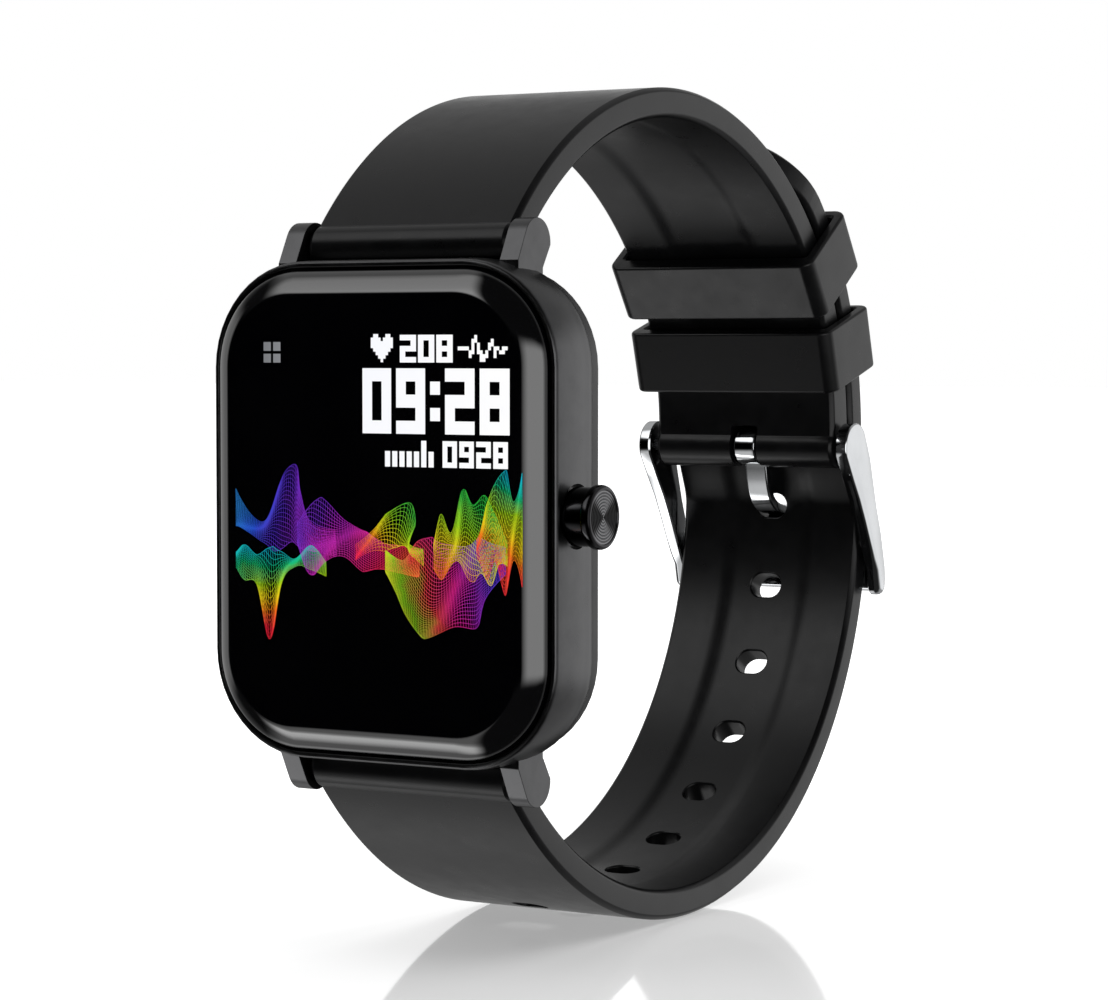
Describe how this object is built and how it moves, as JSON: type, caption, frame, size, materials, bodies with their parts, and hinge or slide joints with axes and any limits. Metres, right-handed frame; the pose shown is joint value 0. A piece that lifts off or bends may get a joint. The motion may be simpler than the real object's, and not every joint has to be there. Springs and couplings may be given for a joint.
{
  "type": "smartwatch",
  "caption": "Square-faced smartwatch with a side crown, curved cover glass, lugs, and a silicone strap closed by a pin buckle and two keepers.",
  "frame": {"origin": "centre of the sensor window's flat face, which rests on the wrist", "axes": "+X towards the crown, +Y out of the case back through the strap loop, +Z towards 12 o'clock"},
  "size_m": [0.0374, 0.0796, 0.0764],
  "materials": {
    "case_metal": "satin dark grey coat",
    "display_glass": "polished black glass",
    "display_screen": "dark screen",
    "white_plastic": "matt white",
    "black_plastic": "fine satin black",
    "seal_rubber": "matt black",
    "seal_red": "matt red",
    "flex_copper": "amber film",
    "board_green": "green solder mask",
    "chip_black": "moulded black",
    "bright_steel": "fine turned",
    "screw_steel": "blackened",
    "battery_foil": "matt foil",
    "lead_red": "insulated wire",
    "brass_weight": "sintered",
    "crown_black": "polished black plating",
    "led_lens": "clear lens",
    "gold_contact": "gold plated",
    "silicone": "satin black silicone",
    "buckle_chrome": "polished"
  },
  "bodies": {
    "case": {"case_frame": "case_metal", "glass": "display_glass", "glass_gasket": "seal_rubber", "display_panel": "display_screen", "backlight": "white_plastic", "display_flex": "flex_copper", "chassis": "black_plastic", "main_board": "board_green", "processor": "chip_black", "board_chips": "chip_black", "shield_can": "bright_steel", "crystal": "bright_steel", "battery": "battery_foil", "battery_lead": "lead_red", "motor_can": "bright_steel", "crown_switch": "white_plastic", "rear_cover": "black_plastic", "rear_gasket": "seal_rubber", "cover_screws": "screw_steel", "sensor_window": "display_glass", "sensor_board": "board_green", "sensor_leds": "led_lens", "photodiode": "chip_black", "light_barrier": "seal_rubber", "charging_contacts": "gold_contact", "charging_magnets": "bright_steel", "upper_bar_tube": "bright_steel", "upper_bar_spring": "bright_steel", "lower_bar_tube": "bright_steel", "lower_bar_spring": "bright_steel"},
    "motor_weight": {"motor_rotor": "brass_weight"},
    "crown_slider": {"crown_plunger": "bright_steel"},
    "crown": {"crown_stem": "bright_steel", "crown_cap": "crown_black", "crown_oring": "seal_red", "crown_clip": "bright_steel"},
    "upper_left_pin": {"upper_bar_pin_left": "bright_steel"},
    "upper_right_pin": {"upper_bar_pin_right": "bright_steel"},
    "lower_left_pin": {"lower_bar_pin_left": "bright_steel"},
    "lower_right_pin": {"lower_bar_pin_right": "bright_steel"},
    "upper_link": {"upper_strap_front": "silicone"},
    "band": {"upper_strap_rear": "silicone", "lower_strap_tail": "silicone", "fixed_keeper": "silicone"},
    "lower_link": {"lower_strap_front": "silicone"},
    "sliding_keeper": {"free_keeper": "silicone"},
    "buckle": {"buckle_frame": "buckle_chrome", "buckle_pin": "bright_steel"},
    "buckle_tang": {"tang": "buckle_chrome"}
  },
  "joints": [
    {"name": "crown_press", "type": "slide", "parent": "case", "child": "crown_slider", "axis": [-1, 0, 0], "range_m": [0, 0.0004], "stiffness_N_per_m": 1500},
    {"name": "crown_turn", "type": "hinge", "parent": "crown_slider", "child": "crown", "pos_m": [0.0126, -0.0061, 0], "axis": [1, 0, 0], "continuous": true},
    {"name": "upper_strap_pivot", "type": "hinge", "parent": "case", "child": "upper_link", "pos_m": [0, -0.00365, 0.0227], "axis": [1, 0, 0], "range_deg": [-5, 5], "stiffness_Nm_per_rad": 1},
    {"name": "upper_strap_flex", "type": "hinge", "parent": "upper_link", "child": "band", "pos_m": [0, 0.02787, 0.03614], "axis": [1, 0, 0], "range_deg": [-3.5, 3.5]},
    {"name": "lower_strap_flex", "type": "hinge", "parent": "band", "child": "lower_link", "pos_m": [0, 0.03698, -0.03629], "axis": [1, 0, 0], "range_deg": [-3, 3]},
    {"name": "keeper_slide", "type": "hinge", "parent": "band", "child": "sliding_keeper", "pos_m": [0, 0.03092, 0.00541], "axis": [1, 0, 0], "range_deg": [-1.5, 5]},
    {"name": "buckle_fold", "type": "hinge", "parent": "band", "child": "buckle", "pos_m": [0, 0.05937, 0.00387], "axis": [1, 0, 0], "range_deg": [0, 6]},
    {"name": "tang_fold", "type": "hinge", "parent": "band", "child": "buckle_tang", "pos_m": [0, 0.05937, 0.00387], "axis": [1, 0, 0], "range_deg": [0, 6]},
    {"name": "upper_left_pin_press", "type": "slide", "parent": "case", "child": "upper_left_pin", "axis": [1, 0, 0], "range_m": [0, 0.0009], "stiffness_N_per_m": 1000},
    {"name": "upper_right_pin_press", "type": "slide", "parent": "case", "child": "upper_right_pin", "axis": [-1, 0, 0], "range_m": [0, 0.0009], "stiffness_N_per_m": 1000},
    {"name": "lower_left_pin_press", "type": "slide", "parent": "case", "child": "lower_left_pin", "axis": [1, 0, 0], "range_m": [0, 0.0009], "stiffness_N_per_m": 1000},
    {"name": "lower_right_pin_press", "type": "slide", "parent": "case", "child": "lower_right_pin", "axis": [-1, 0, 0], "range_m": [0, 0.0009], "stiffness_N_per_m": 1000},
    {"name": "motor_spin", "type": "hinge", "parent": "case", "child": "motor_weight", "pos_m": [0.0121, -0.0048, -0.0086], "axis": [0, 1, 0], "continuous": true}
  ],
  "couplings": [
    {"joint": "upper_strap_flex", "follows": "upper_strap_pivot", "ratio": -0.6545},
    {"joint": "lower_strap_flex", "follows": "upper_strap_pivot", "ratio": 0.5075},
    {"joint": "tang_fold", "follows": "buckle_fold", "ratio": 1}
  ]
}
